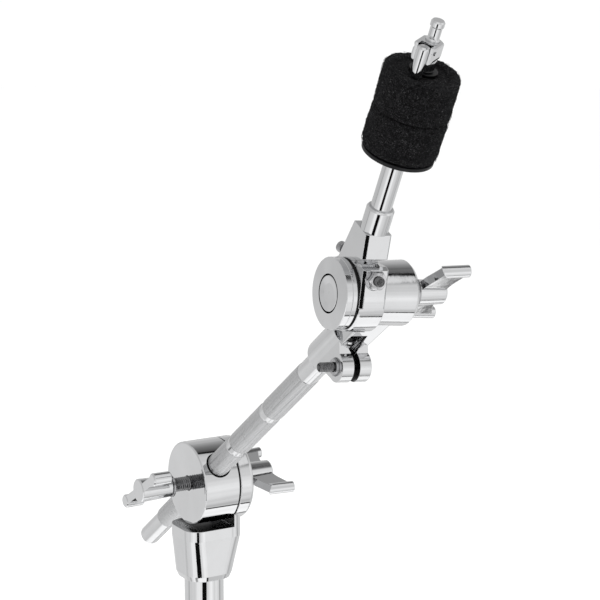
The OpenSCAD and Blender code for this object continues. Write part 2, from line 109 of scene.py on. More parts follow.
# ------------------------------------------------------------------ shader helpers
class Tree:
    """strings the nodes of one shader together"""

    def __init__(self, node_tree):
        self.node_tree = node_tree
        node_tree.nodes.clear()

    def node(self, kind, **settings):
        made = self.node_tree.nodes.new(kind)
        for key, value in settings.items():
            setattr(made, key, value)
        return made

    def put(self, socket, value):
        """links a socket, or sets it to a plain value; None leaves it alone"""
        if isinstance(value, bpy.types.NodeSocket):
            self.node_tree.links.new(value, socket)
        elif value is not None:
            socket.default_value = value

    def coords(self, output="Object"):
        return self.node("ShaderNodeTexCoord").outputs[output]

    def math(self, operation, *operands):
        made = self.node("ShaderNodeMath", operation=operation)
        for socket, value in zip(made.inputs, operands):
            self.put(socket, value)
        return made.outputs[0]

    def plus(self, first, second):
        return self.math("ADD", first, second)

    def minus(self, first, second):
        return self.math("SUBTRACT", first, second)

    def times(self, first, second):
        return self.math("MULTIPLY", first, second)

    def inverse(self, value):
        return self.minus(1.0, value)

    def dot(self, vector, direction):
        made = self.node("ShaderNodeVectorMath", operation="DOT_PRODUCT")
        self.put(made.inputs[0], vector)
        made.inputs[1].default_value = direction
        return made.outputs["Value"]

    def linear(self, value, over, to=(0.0, 1.0), easing="LINEAR"):
        """carries value from the range `over` to the range `to`"""
        made = self.node("ShaderNodeMapRange", interpolation_type=easing)
        for socket, number in zip(made.inputs, (value, *over, *to)):
            self.put(socket, number)
        return made.outputs[0]

    def ease(self, value, over, to=(0.0, 1.0)):
        """as linear, with soft ends"""
        return self.linear(value, over, to, "SMOOTHSTEP")

    def noise(self, vector, scale, detail=3.0, roughness=0.5, distortion=0.0):
        made = self.node("ShaderNodeTexNoise")
        self.put(made.inputs["Vector"], vector)
        made.inputs["Scale"].default_value = scale
        made.inputs["Detail"].default_value = detail
        made.inputs["Roughness"].default_value = roughness
        made.inputs["Distortion"].default_value = distortion
        return made.outputs["Fac"]

    def mix(self, factor, first, second):
        made = self.node("ShaderNodeMix", data_type="RGBA")
        self.put(made.inputs[0], factor)
        self.put(made.inputs[6], first)
        self.put(made.inputs[7], second)
        return made.outputs[2]

    def ramp(self, factor, stops):
        """stops are (position, colour or grey level)"""
        made = self.node("ShaderNodeValToRGB")
        elements = made.color_ramp.elements
        while len(elements) < len(stops):
            elements.new(0.5)
        for element, (position, colour) in zip(elements, stops):
            element.position = position
            element.color = colour if isinstance(colour, tuple) else rgb(colour, colour, colour)
        self.put(made.inputs[0], factor)
        return made.outputs[0]

    def bevel(self, radius_mm, samples):
        made = self.node("ShaderNodeBevel")
        made.samples = samples
        made.inputs["Radius"].default_value = radius_mm * MM
        return made.outputs[0]

    def bump(self, height, strength, distance, normal=None):
        made = self.node("ShaderNodeBump")
        made.inputs["Strength"].default_value = strength
        made.inputs["Distance"].default_value = distance
        self.put(made.inputs["Height"], height)
        self.put(made.inputs["Normal"], normal)
        return made.outputs[0]

    def surface(self, **inputs):
        """principled surface; underscores in the names stand for spaces"""
        out = self.node("ShaderNodeOutputMaterial")
        principled = self.node("ShaderNodeBsdfPrincipled")
        for key, value in inputs.items():
            self.put(principled.inputs[key.replace("_", " ")], value)
        self.put(out.inputs[0], principled.outputs[0])


def rgb(red, green, blue):
    return (red, green, blue, 1)


def new_material(name):
    material = bpy.data.materials.new(name)
    material.use_nodes = True
    return material, Tree(material.node_tree)


def reading(tree, place, frame, axis):
    """reading of a place along one axis of a frame, in mm"""
    direction = Vector([frame[i][axis] for i in range(3)]).normalized()
    metres = tree.minus(tree.dot(place, direction), direction.dot(frame.translation))
    return tree.times(metres, 1.0 / MM)


def off_axis(tree, place, frame, *across):
    """distance in mm from the frame's axis that is square to the two named ones"""
    first, second = [reading(tree, place, frame, axis) for axis in across]
    return tree.math("SQRT", tree.plus(tree.times(first, first), tree.times(second, second)))


# ------------------------------------------------------------------ painted shade in the chrome's recesses
# Each returns 0 on clean plate and up to 1 where shade is painted dark. The ranges are in mm.
def shade_under_drum(tree, place):
    """painted shade on the top of the shelf under the drum, where nothing bright is ever reflected"""
    normal = tree.node("ShaderNodeSeparateXYZ")
    tree.put(normal.inputs[0], tree.node("ShaderNodeNewGeometry").outputs["Normal"])
    z = reading(tree, place, BOOM_FRAME, Z)
    x = reading(tree, place, BOOM_FRAME, X)
    faces_up = tree.ease(normal.outputs[2], over=(0.55, 0.8))
    dark = tree.times(faces_up, tree.ease(z, over=(SHELF_Z - 2.2, SHELF_Z - 1.2)))
    dark = tree.times(dark, tree.ease(z, over=(SHELF_Z + 6, SHELF_Z + 5)))
    return tree.times(dark, tree.ease(x, over=(-11.5, -6.5), to=(0.35, 1.0)))


def knurl_valley_shade(tree, place):
    """painted shade in the grooves between the knurl's points"""
    radius = off_axis(tree, place, ROD_FRAME, X, Y)
    band = tree.times(tree.ease(radius, over=(6.50, 6.44)), tree.ease(radius, over=(6.27, 6.33)))
    # strength of the shade painted into the valleys
    valley_shade = 0.34
    return tree.times(band, valley_shade)


def nut_foot_shade(tree, place):
    """foot of the release nut, down in the felt's hollow, with shade painted dark on it"""
    z = reading(tree, place, HEAD_FRAME, Z)
    return tree.ease(z, over=(NUT_FOOT_Z + 2.2, NUT_FOOT_Z + 1.8))


def rod_hole_shade(tree, place):
    """painted shade on the edge and wall of the rod's hole in the drum"""
    inside = tree.ease(off_axis(tree, place, ROD_FRAME, X, Y), over=(7.40, 7.25))
    sideways = tree.math("ABSOLUTE", reading(tree, place, BOOM_FRAME, X))
    return tree.times(inside, tree.ease(sideways, over=(21.9, 21.5)))


def plug_groove_shade(tree, place):
    """painted shade on the walls of the narrow groove round the plug in the brake cap"""
    radius = off_axis(tree, place, BRAKE_FRAME, Y, Z)
    x = reading(tree, place, BRAKE_FRAME, X)
    band = tree.times(tree.ease(radius, over=(8.70, 8.78)), tree.ease(radius, over=(9.62, 9.54)))
    return tree.times(band, tree.ease(x, over=(-14.0, -14.5)))


def clamp_slit_shade(tree, place):
    """painted shade on the walls of the clamp slit and of the pocket it opens into"""
    x = tree.math("ABSOLUTE", reading(tree, place, CLAMP_FRAME, X))
    y = reading(tree, place, CLAMP_FRAME, Y)
    z = reading(tree, place, CLAMP_FRAME, Z)
    slit = tree.times(tree.ease(x, over=(1.75, 1.66)),
                      tree.ease(y, over=(-24, -21), to=(0.35, 1.0)))
    pocket = tree.times(tree.ease(x, over=(4.6, 3.4)), tree.ease(y, over=(-9.2, -7.2)))
    # strength of the shade painted into the pocket
    pocket_shade = 0.85
    dark = tree.math("MAXIMUM", slit, tree.times(pocket, pocket_shade))
    dark = tree.times(dark, tree.ease(y, over=(-1.0, -3.0)))
    return tree.times(dark, tree.ease(z, over=(199.0, 197.5)))


# ------------------------------------------------------------------ materials
CHROME_GREY = 0.64      # how much of the studio the chrome reflects


def chrome(name, edge, wave, cast=0.0, rough=(0.03, 0.06), shade_mask=None):
    """polished chrome plate with hairline polish marks and a few duller patches.

    edge is the rounding in mm left by the plating, wave the strength of the buffed
    unevenness, cast the extra fine relief, rough the range of roughness."""
    material, tree = new_material(name)
    place = tree.coords()
    normal = tree.bevel(edge, samples=6) if edge else None
    swell = tree.noise(place, scale=55.0, detail=2.0, roughness=0.5)
    fine = tree.noise(place, scale=420.0, detail=3.0, roughness=0.6)
    # polish marks: noise drawn thin along z
    mapping = tree.node("ShaderNodeMapping")
    tree.put(mapping.inputs["Vector"], place)
    mapping.inputs["Scale"].default_value = (1.0, 1.0, 9.0)
    marks = tree.noise(mapping.outputs[0], scale=900.0, detail=4.0, roughness=0.65)
    swell_share, fine_share = 1.0, 0.05 + cast
    relief = tree.plus(tree.times(swell, swell_share), tree.times(fine, fine_share))
    normal = tree.bump(relief, strength=wave, distance=0.0006, normal=normal)
    normal = tree.bump(marks, strength=0.02, distance=0.00005, normal=normal)
    patch = tree.noise(place, scale=90.0, detail=4.0, roughness=0.6, distortion=0.6)
    roughness = tree.linear(patch, over=(0.35, 0.7), to=rough)
    roughness = tree.plus(roughness, tree.linear(marks, over=(0.5, 0.8), to=(0.0, 0.012)))
    specks = tree.noise(place, scale=1400.0, detail=2.0, roughness=0.5)
    dust = tree.ease(specks, over=(0.72, 0.80), to=(0.0, 0.08))
    # two faintly blue greys
    bright = rgb(CHROME_GREY, CHROME_GREY * 1.006, CHROME_GREY * 1.018)
    dull = rgb(CHROME_GREY * 0.965, CHROME_GREY * 0.97, CHROME_GREY * 0.98)
    tint = tree.mix(tree.linear(patch, over=(0.3, 0.7)), bright, dull)
    roughness = tree.plus(roughness, dust)
    if shade_mask:
        # painted shade deep inside a recess: the colour goes near black and the roughness rises
        painted_shade_colour = rgb(0.012, 0.012, 0.013)
        shade_roughness = 0.35
        dark = shade_mask(tree, place)
        tint = tree.mix(dark, tint, painted_shade_colour)
        roughness = tree.plus(roughness, tree.times(dark, shade_roughness))
    tree.surface(Base_Color=tint, Metallic=1.0, Roughness=roughness, Normal=normal)
    return material


def steel(name, base, rough, edge=0.12):
    """zinc or bare steel: dull plating with a fine brushed grain and dark deposits"""
    material, tree = new_material(name)
    place = tree.coords()
    rounded = tree.bevel(edge, samples=4)
    grain = tree.noise(place, scale=1100.0, detail=5.0, roughness=0.7)
    blots = tree.noise(place, scale=240.0, detail=4.0, roughness=0.6, distortion=0.8)
    normal = tree.bump(grain, strength=0.10, distance=0.00008, normal=rounded)
    deposit_shade = 0.45
    deposit = tuple(channel * deposit_shade for channel in base)
    colour = tree.mix(tree.ease(blots, over=(0.42, 0.72)), rgb(*base), rgb(*deposit))
    share = 0.5         # grain and blots count alike
    uneven = tree.plus(tree.times(grain, share), tree.times(blots, share))
    tree.surface(Base_Color=colour, Metallic=1.0,
                 Roughness=tree.linear(uneven, over=(0.3, 0.7), to=rough), Normal=normal)
    return material


def plastic(name, colour, rough, specular):
    """dark matt surface with a fine grain and slightly paler clouds"""
    material, tree = new_material(name)
    place = tree.coords()
    grain = tree.noise(place, scale=1500.0, detail=4.0, roughness=0.65)
    clouds = tree.noise(place, scale=130.0, detail=3.0, roughness=0.55)
    gain, lift = 1.7, 0.004
    paler = tuple(min(1.0, channel * gain + lift) for channel in colour)
    cloudy = tree.linear(clouds, over=(0.3, 0.7), to=(0.0, 0.8))
    tree.surface(Base_Color=tree.mix(cloudy, rgb(*colour), rgb(*paler)),
                 Roughness=tree.linear(grain, over=(0.3, 0.7), to=(rough - 0.06, rough + 0.08)),
                 Specular_IOR_Level=specular,
                 Normal=tree.bump(grain, strength=0.15, distance=0.0001))
    return material


def wool_felt(name):
    """dense black wool: matted nap with paler hairs showing through"""
    material, tree = new_material(name)
    place = tree.coords()
    nap = tree.noise(place, scale=620.0, detail=6.0, roughness=0.75, distortion=1.2)
    clumps = tree.noise(place, scale=190.0, detail=4.0, roughness=0.6, distortion=0.6)
    strands = tree.noise(place, scale=1050.0, detail=5.0, roughness=0.80, distortion=2.6)
    hairs = tree.ease(strands, over=(0.575, 0.65))
    worn = tree.linear(clumps, over=(0.35, 0.65), to=(0.35, 1.0))
    colour = tree.mix(tree.linear(nap, over=(0.38, 0.66)),
                      rgb(0.0012, 0.0012, 0.0014), rgb(0.0085, 0.0085, 0.0090))
    colour = tree.mix(tree.times(hairs, worn), colour, rgb(0.22, 0.22, 0.226))
    share = 0.8         # nap and clumps stand equally high
    relief = tree.plus(tree.times(nap, share), tree.times(clumps, share))
    tree.surface(Base_Color=colour, Roughness=0.97, Specular_IOR_Level=0.04,
                 Sheen_Weight=0.03, Sheen_Roughness=0.5, Sheen_Tint=rgb(0.5, 0.5, 0.52),
                 Normal=tree.bump(relief, strength=1.0, distance=0.0012))
    return material


def loose_hair(name):
    """mostly black hairs with a few grey ones"""
    material, tree = new_material(name)
    place = tree.coords()
    colour = tree.ramp(tree.noise(place, scale=800.0, detail=2.0, roughness=0.5),
                       stops=[(0.30, rgb(0.003, 0.003, 0.0033)), (0.52, rgb(0.010, 0.010, 0.011)),
                              (0.66, rgb(0.045, 0.045, 0.047)), (0.76, rgb(0.12, 0.12, 0.125))])
    tree.surface(Base_Color=colour, Roughness=0.85, Specular_IOR_Level=0.2,
                 Normal=tree.bump(tree.noise(place, scale=3000.0), strength=0.2, distance=0.0001))
    return material


# the chrome materials given a mask below have shade painted dark into their recesses
PLATE = chrome("chrome_plate", edge=0.30, wave=0.05)
CAST = chrome("chrome_cast", edge=0.45, wave=0.10, cast=0.05, rough=(0.035, 0.075))
BASE = chrome("chrome_base", edge=0.45, wave=0.08, cast=0.04, shade_mask=shade_under_drum)
BODY = chrome("chrome_body", edge=0.40, wave=0.09, cast=0.05, shade_mask=clamp_slit_shade)
TURNED = chrome("chrome_turned", edge=0.15, wave=0.015, rough=(0.02, 0.04))
CAP = chrome("chrome_cap", edge=0.12, wave=0.02, shade_mask=plug_groove_shade)
DRUM = chrome("chrome_drum", edge=0.15, wave=0.02, rough=(0.02, 0.04), shade_mask=rod_hole_shade)
BRIGHT_STEEL = steel("bright_steel", base=(0.54, 0.54, 0.55), rough=(0.05, 0.11))
RELEASE = chrome("chrome_release", edge=0.30, wave=0.05, shade_mask=nut_foot_shade)
KNURL = chrome("chrome_knurl", edge=0.0, wave=0.02, rough=(0.11, 0.17), shade_mask=knurl_valley_shade)
DULL_STEEL = steel("dull_steel", base=(0.40, 0.40, 0.41), rough=(0.22, 0.38))
DARK_STEEL = steel("dark_steel", base=(0.48, 0.48, 0.49), rough=(0.07, 0.15))
THREAD = steel("thread_steel", base=(0.20, 0.20, 0.205), rough=(0.20, 0.34), edge=0.0)
OXIDE = plastic("black_oxide", colour=(0.012, 0.012, 0.013), rough=0.42, specular=0.5)
FRICTION = plastic("friction_fibre", colour=(0.010, 0.010, 0.010), rough=0.75, specular=0.2)
NYLON = plastic("black_nylon", colour=(0.004, 0.004, 0.0045), rough=0.42, specular=0.22)
FELT = wool_felt("black_felt")
HAIR = loose_hair("felt_hairs")

# material, and the CAD nodes that wear it
WEAR = [
    (PLATE, ("release_lever",)),
    (CAST, ("tilt_wing_nut", "rod_wing_nut", "tilter_wing_nut", "tilter_head")),
    (BASE, ("base_casting",)),
    (BODY, ("tilter_body",)),
    (TURNED, ("post_tube", "rod_collar", "cymbal_rod")),
    (CAP, ("brake_cap", "tilter_bolt")),
    (DRUM, ("clamp_drum",)),
    (BRIGHT_STEEL, ("head_nut",)),
    (RELEASE, ("release_nut",)),
    (KNURL, ("boom_rod",)),
    (DULL_STEEL, ("tilt_spring_washer", "tilt_washer", "rod_lock_washer",
                  "tilter_spring_washer", "tilter_washer", "lever_pin", "rod_eye_bolt",
                  "clamp_bolt", "head_bolt", "rod_lock_screw")),
    (DARK_STEEL, ("clamp_nut",)),
    (OXIDE, ("post_set_screw", "housing_set_screw")),
    (FRICTION, ("tilt_brake_disc", "cap_friction_ring", "housing_friction_ring")),
    (NYLON, ("tilt_bush", "seat_washer", "seat_sleeve")),
    (FELT, ("lower_felt", "upper_felt")),
]
MATERIAL_OF = {node: material for material, members in WEAR for node in members}


def dress(ob, material):
    ob.data.materials.clear()
    ob.data.materials.append(material)


for node_name, node_object in nodes.items():
    dress(node_object, MATERIAL_OF[node_name])


# ------------------------------------------------------------------ mesh helpers
def placed_mesh(name, verts, faces, frame):
    mesh = bpy.data.meshes.new(name)
    mesh.from_pydata([tuple(frame @ Vector(vert)) for vert in verts], [], faces)
    mesh.update()
    return mesh


def add_object(name, mesh, material):
    ob = bpy.data.objects.new(name, mesh)
    scene.collection.objects.link(ob)
    dress(ob, material)
    return ob


def make(name, verts, faces, frame, material, crease):
    """smooth-shaded piece from local mm points; edges sharper than crease degrees stay crisp"""
    mesh = placed_mesh(name, verts, faces, frame)
    edit = bmesh.new()
    edit.from_mesh(mesh)
    bmesh.ops.remove_doubles(edit, verts=edit.verts, dist=1e-7)
    bmesh.ops.recalc_face_normals(edit, faces=edit.faces)
    edit.to_mesh(mesh)
    edit.free()
    mesh.shade_smooth()
    mesh.set_sharp_from_angle(angle=math.radians(crease))
    return add_object(name, mesh, material)


def stand_for(ob, node):
    """puts a piece in the place of a CAD node"""
    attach(ob, BODY_OF[node])
    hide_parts(node)


def band(first, second, count):
    """quads between two closed rings of points, given the index each ring starts at"""
    return [(first + j, first + (j + 1) % count, second + (j + 1) % count, second + j)
            for j in range(count)]


# ------------------------------------------------------------------ knurled boom rod
KNURL_CREST = 6.57
KNURL_DEPTH = 0.15
KNURL_POINTS = 36       # round the rod
KNURL_ROW = math.pi * KNURL_CREST / KNURL_POINTS * 1.05     # wanted row height


def plain_rows(*stations):
    """stations are (radius, z)"""
    return [(z, None, radius) for radius, z in stations]


def knurled_rows(start, end):
    """rows whose points alternate; the two end rows lie flat at valley depth"""
    count = int(round((end - start) / KNURL_ROW))
    valley = KNURL_CREST - KNURL_DEPTH
    return [(start + (end - start) * i / count, i % 2, valley if i in (0, count) else KNURL_CREST)
            for i in range(count + 1)]


def knurled_rod():
    low, high = reach("boom_rod", ROD_FRAME, Z)
    rows = (plain_rows((0, low), (5.2, low), (5.8, low + 0.8), (5.8, -56.0), (6.2, -55.6))
            + knurled_rows(-55.4, 48.9)
            + plain_rows((6.2, 49.0), (6.08, 49.4), (6.08, 53.4), (6.2, 53.8))
            + knurled_rows(54.0, 94.1)
            + plain_rows((6.2, 94.2), (6.08, 94.6), (6.08, 98.6), (6.2, 99.0))
            + knurled_rows(99.2, 143.5)
            + plain_rows((6.22, 143.7), (6.25, 144.0), (6.25, high - 0.8), (5.6, high),
                         (0, high)))
    around = 2 * KNURL_POINTS
    verts, faces, rings = [], [], []
    for z, parity, crest in rows:
        count = around if crest else 1      # the rod closes in a single point on its axis
        rings.append((parity, len(verts), count))
        for k in range(count):
            angle = math.pi * k / KNURL_POINTS
            in_valley = parity is not None and (k + parity) % 2 == 0
            radius = KNURL_CREST - KNURL_DEPTH if in_valley else crest
            verts.append((radius * math.cos(angle), radius * math.sin(angle), z))
    for (parity, low_ring, low_n), (next_parity, high_ring, high_n) in zip(rings, rings[1:]):
        for k in range(around):
            corners = (low_ring + k % low_n, low_ring + (k + 1) % low_n,
                       high_ring + (k + 1) % high_n, high_ring + k % high_n)
            if parity is None or next_parity is None:
                faces.append(tuple(dict.fromkeys(corners)))
                continue
            # the diagonal joins the two valley corners
            split = ((0, 1, 2), (0, 2, 3)) if (k + parity) % 2 == 0 else ((0, 1, 3), (1, 2, 3))
            faces += [tuple(corners[i] for i in triangle) for triangle in split]
    rod = make("knurled_boom_rod", verts, faces, ROD_FRAME, KNURL, crease=9)
    stand_for(rod, "boom_rod")


knurled_rod()


# ------------------------------------------------------------------ threaded bolts
def threaded_bar(low, high, crest, depth, pitch, low_taper, high_taper):
    """closed bar along z with a helical thread that fades out over the tapers"""
    around, rows_per_pitch = 40, 8
    flat, flank = 0.12, 0.76            # shares of half a pitch
    root = crest - depth * 1.15         # radius at a tapered end
    count = max(6, int(round((high - low) / pitch * rows_per_pitch)))
    verts, faces = [], []
    for i in range(count + 1):
        z = low + (high - low) * i / count
        fade = 1.0
        if low_taper:
            fade = min(fade, max(0.0, (z - low) / low_taper))
        if high_taper:
            fade = min(fade, max(0.0, (high - z) / high_taper))
        for j in range(around):
            angle = 2 * math.pi * j / around
            turn = (z / pitch - j / around) % 1.0
            from_root = abs(turn * 2 - 1)
            ridge = 1 - min(1.0, max(0.0, (from_root - flat) / flank))
            radius = min(crest - depth * (1 - ridge), root + depth * 1.15 * fade)
            verts.append((radius * math.cos(angle), radius * math.sin(angle), z))
    for i in range(count):
        faces += band(i * around, (i + 1) * around, around)
    faces.append(tuple(range(around - 1, -1, -1)))
    faces.append(tuple(count * around + j for j in range(around)))
    return verts, faces


def thinned_core(node, name, frame, axis, radius, core_radius, spans):
    """copy of the CAD bolt with its shank cut to core_radius along the threaded spans"""
    core = nodes[node].copy()
    core.data = nodes[node].data.copy()
    core.name = name
    core.parent = None
    # the copy must not carry the CAD node's marks
    for key in list(core.keys()):
        if key.startswith("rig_"):
            del core[key]
    scene.collection.objects.link(core)
    overlap, tolerance = 0.3, 0.06
    to_local = frame.inverted()
    across = [i for i in (X, Y, Z) if i != axis]
    for vertex in core.data.vertices:
        point = to_local @ vertex.co
        off = math.hypot(point[across[0]], point[across[1]])
        threaded = any(low - overlap <= point[axis] <= high + overlap for low, high, *_ in spans)
        if threaded and abs(off - radius) < tolerance:
            for i in across:
                point[i] *= core_radius / off
            vertex.co = frame @ point
    core.data.update()
    dress(core, THREAD)
    return core


def bolt(node, name, frame, axis, radius, depth, pitch, spans):
    """CAD bolt with real threads; spans are (low, high, low taper, high taper)"""
    parts = [thinned_core(node, name + "_core", frame, axis, radius, radius - depth - 0.12, spans)]
    for i, span in enumerate(spans):
        low, high, low_taper, high_taper = span
        verts, faces = threaded_bar(low, high, radius - 0.01, depth, pitch, low_taper, high_taper)
        if axis == X:
            verts = [(z, y, -x) for x, y, z in verts]
        parts.append(make(f"{name}_thread{i}", verts, faces, frame, THREAD, crease=50))
    bpy.ops.object.select_all(action="DESELECT")
    for part in parts:
        part.select_set(True)
    bpy.context.view_layer.objects.active = parts[0]
    bpy.ops.object.join()
    parts[0].name = name
    stand_for(parts[0], node)


def bolts():
    low, high = reach("rod_eye_bolt", BOOM_FRAME, X)
    bolt("rod_eye_bolt", "eye_bolt", BOOM_FRAME, X, radius=3.98, depth=0.52, pitch=1.25,
         spans=[(low, -7.6, 0.8, 0), (11.2, high, 0, 0.8)])

    small = dict(radius=2.5, depth=0.40, pitch=0.9)
    taper = 0.5
    # clamp bolt: crosses the clamp slit, threaded at its low x end
    frame = CLAMP_FRAME @ Matrix.Translation((0, -15.2, 184.5))
    low, high = reach("clamp_bolt", frame, X)
    bolt("clamp_bolt", "clamp_bolt_threaded", frame, X, spans=[(low, low + 7.2, taper, 0)],
         **small)
    # head bolt: leans in the head's y-z plane, threaded at its high z end
    lean = math.radians(90 - 19.2)
    frame = (HEAD_FRAME @ Matrix.Translation((SEAT_X, -13.6, 16.3))
             @ Matrix.Rotation(lean, 4, "X"))
    low, high = reach("head_bolt", frame, Z)
    bolt("head_bolt", "head_bolt_threaded", frame, Z, spans=[(high - 1.9, high, 0, taper)],
         **small)


bolts()


# ------------------------------------------------------------------ felts
class Felt:
    """one felt ring; hollow is the depth of the dish in its top"""

    INSET = 0.15        # the cut side stands this far inside the nominal radius
    TOP_EDGE = 1.35     # rounding of the upper edge
    BOTTOM_EDGE = 1.45
    SIDE_FOOT = 1.5     # height at which the side begins
    AROUND = 150

    def __init__(self, node, name, diameter, seed, hollow, hairs):
        self.node = node
        self.name = name
        self.low, self.high = reach(node, SEAT_FRAME, Z)
        self.radius = diameter / 2.0
        self.hollow = hollow
        self.dished = hollow > 0.6
        self.rng = random.Random(seed)
        # only seven phases are used, but the hairs' draws follow on from all twelve
        self.phases = [self.rng.uniform(0, 2 * math.pi) for _ in range(12)]
        stand_for(self.ring(), node)
        self.add_hairs(hairs)

    def unevenness(self, angle, z):
        """slow unevenness of a cut felt"""
        ph = self.phases
        return (0.20 * math.sin(2 * angle + ph[0]) + 0.16 * math.sin(3 * angle + ph[1] + z * 0.11)
                + 0.12 * math.sin(5 * angle + ph[2] - z * 0.2)
                + 0.10 * math.sin(9 * angle + ph[3] + z * 0.5)
                + 0.10 * math.sin(z * 0.9 + ph[4] + 2 * angle))

    def dish(self, radius):
        """depth of the dish at a radius"""
        share = min(1.0, max(0.0, (14.6 - radius) / 3.0))
        return self.hollow * share * share * (3 - 2 * share)

    def profile(self):
        """closed outline as (radius, z): underside, side, top, bore"""
        low, high, outer = self.low, self.high, self.radius
        outline = [(5.75, low + 0.05), (9, low + 0.02), (13, low + 0.02), (outer - 2.4, low + 0.05)]
        for i in range(7):
            angle = math.radians(-90 + 90 * i / 6)
            outline.append((outer - 1.6 + self.BOTTOM_EDGE * math.cos(angle),
                            low + self.SIDE_FOOT + self.BOTTOM_EDGE * math.sin(angle)))
        side = high - low - self.SIDE_FOOT - self.TOP_EDGE - 0.05
        for i in range(1, 26):
            share = i / 26
            outline.append((outer - self.INSET + 0.25 * math.sin(math.pi * share) - 0.1,
                            low + self.SIDE_FOOT + side * share))
        top_rim = outer - self.INSET - self.TOP_EDGE
        for i in range(9):
            angle = math.radians(90 * i / 8)
            outline.append((top_rim + self.TOP_EDGE * math.cos(angle),
                            high - self.TOP_EDGE + self.TOP_EDGE * math.sin(angle)))
        for i in range(1, 19):
            radius = top_rim - (top_rim - 6.6) * i / 18
            outline.append((radius, high - 0.02 - self.dish(radius)))
        return outline + [(5.95, high - self.hollow - 0.15), (5.78, high - self.hollow - 0.8),
                          (5.75, low + 0.6)]

    def ring(self):
        low, high, ph, around = self.low, self.high, self.phases, self.AROUND
        outline = self.profile()
        verts, faces = [], []
        for radius, z in outline:
            outward = min(1.0, max(0.0, (radius - 8) / 6))
            mid_height = min(1.0, (z - low) / 3) * min(1.0, (high - z) / 3)
            for j in range(around):
                angle = 2 * math.pi * j / around
                uneven = self.unevenness(angle, z) * (0.35 + 0.65 * max(0, mid_height))
                wide = radius + outward * uneven
                sag = 0.0
                if z > high - 1.5:
                    sag = abs(0.22 * math.sin(3 * angle + ph[5])
                              + 0.16 * math.sin(7 * angle + ph[6])) * outward * 0.8
                verts.append((wide * math.cos(angle), wide * math.sin(angle), z - sag))
        for k in range(len(outline)):
            faces += band(k * around, (k + 1) % len(outline) * around, around)
        ob = make(self.name, verts, faces, SEAT_FRAME, FELT, crease=60)
        self.mat_nap(ob)
        self.trim(ob.data)
        ob.data.shade_smooth()
        return ob

    def mat_nap(self, ob):
        """subdivides the skin, then pushes it in and out with two noises"""
        subdivide = ob.modifiers.new("sub", "SUBSURF")
        subdivide.levels = subdivide.render_levels = 1
        for label, grain in (("nap", 0.0016), ("clump", 0.0045)):
            texture = bpy.data.textures.new(f"{self.name}_{label}", "CLOUDS")
            texture.noise_scale = grain
            texture.noise_depth = 3
            displace = ob.modifiers.new(label, "DISPLACE")
            displace.texture = texture
            displace.texture_coords = "GLOBAL"
            displace.strength = 0.0007
            displace.mid_level = 0.56
        bpy.context.view_layer.update()
        depsgraph = bpy.context.evaluated_depsgraph_get()
        mesh = bpy.data.meshes.new_from_object(ob.evaluated_get(depsgraph))
        ob.modifiers.clear()
        ob.data = mesh

    def trim(self, mesh):
        """keeps the skin clear of the sleeve, the washer, and the nut's foot and lever"""
        bore = 5.70
        to_local = SEAT_FRAME.inverted()
        for vertex in mesh.vertices:
            point = to_local @ vertex.co
            radius = math.hypot(point.x, point.y)
            if radius < bore:
                point.x *= bore / radius
                point.y *= bore / radius
            top = self.high + 0.25
            if self.dished and radius < 12.6:
                top = self.high - self.hollow + 0.1
            point.z = min(max(point.z, self.low), top)
            vertex.co = SEAT_FRAME @ point

    def hair_root(self):
        """a place on the side or the top, with the direction that points off it"""
        rng, edge = self.rng, self.TOP_EDGE
        angle = rng.uniform(0, 2 * math.pi)
        on_side = rng.random() < 0.80
        if on_side:
            z = rng.uniform(self.low + 0.5, self.high - 0.3)
            radius = self.radius + self.unevenness(angle, z) - 0.12
            if z > self.high - edge:
                share = (z - (self.high - edge)) / edge
                radius -= edge * (1 - math.sqrt(max(0, 1 - share * share)))
            outward = Vector((math.cos(angle), math.sin(angle), 0.0))
        else:
            inner = 12.9 if self.dished else 7.5
            radius = math.sqrt(rng.uniform(inner ** 2, (self.radius - 1.2) ** 2))
            z = self.high - 0.26 - self.dish(radius)
            outward = Vector((0, 0, 1))
        return Vector((radius * math.cos(angle), radius * math.sin(angle), z)), outward

    def hair_line(self):
        """four points of a curved hair lying on the nap"""
        rng = self.rng
        root, outward = self.hair_root()
        along = outward.orthogonal().normalized()
        aside = outward.cross(along)
        heading = rng.uniform(0, 2 * math.pi)
        bend = rng.uniform(-1.6, 1.6)
        length = rng.uniform(0.4, 1.5)
        lift = rng.choice([0.03, 0.05, 0.08, 0.12, 0.20])
        points = []
        for i in range(4):
            share = i / 3.0
            angle = heading + bend * share
            rise = lift * math.sin(math.pi * min(1.0, share * 1.1)) * 1.1 + 0.10
            points.append(root + (along * math.cos(angle) + aside * math.sin(angle))
                          * (length * share) + outward * rise)
        return points

    def add_hairs(self, count):
        """loose hairs: fine three-sided wisps with narrowed tips"""
        verts, faces = [], []
        for _ in range(count):
            line = self.hair_line()
            thickness = self.rng.uniform(0.025, 0.045)
            base = len(verts)
            for i, point in enumerate(line):
                heading = (line[min(i + 1, 3)] - line[max(i - 1, 0)]).normalized()
                across = heading.orthogonal().normalized()
                other = heading.cross(across)
                radius = thickness * (1.0 if i < 3 else 0.4)
                for j in range(3):
                    angle = 2 * math.pi * j / 3
                    verts.append(tuple(point + (across * math.cos(angle)
                                                + other * math.sin(angle)) * radius))
            for i in range(3):
                faces += band(base + i * 3, base + i * 3 + 3, 3)
            faces.append((base + 2, base + 1, base))
            faces.append((base + 9, base + 10, base + 11))
        name = self.name + "_hairs"
        ob = add_object(name, placed_mesh(name, verts, faces, SEAT_FRAME), HAIR)
        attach(ob, BODY_OF[self.node])


Felt("lower_felt", "felt_lower", diameter=36.0, seed=11, hollow=0.0, hairs=5200)
Felt("upper_felt", "felt_upper", diameter=36.8, seed=23, hollow=1.45, hairs=5600)


# ------------------------------------------------------------------ floor
FLOOR_Z = -0.098        # lower than the head ever dips


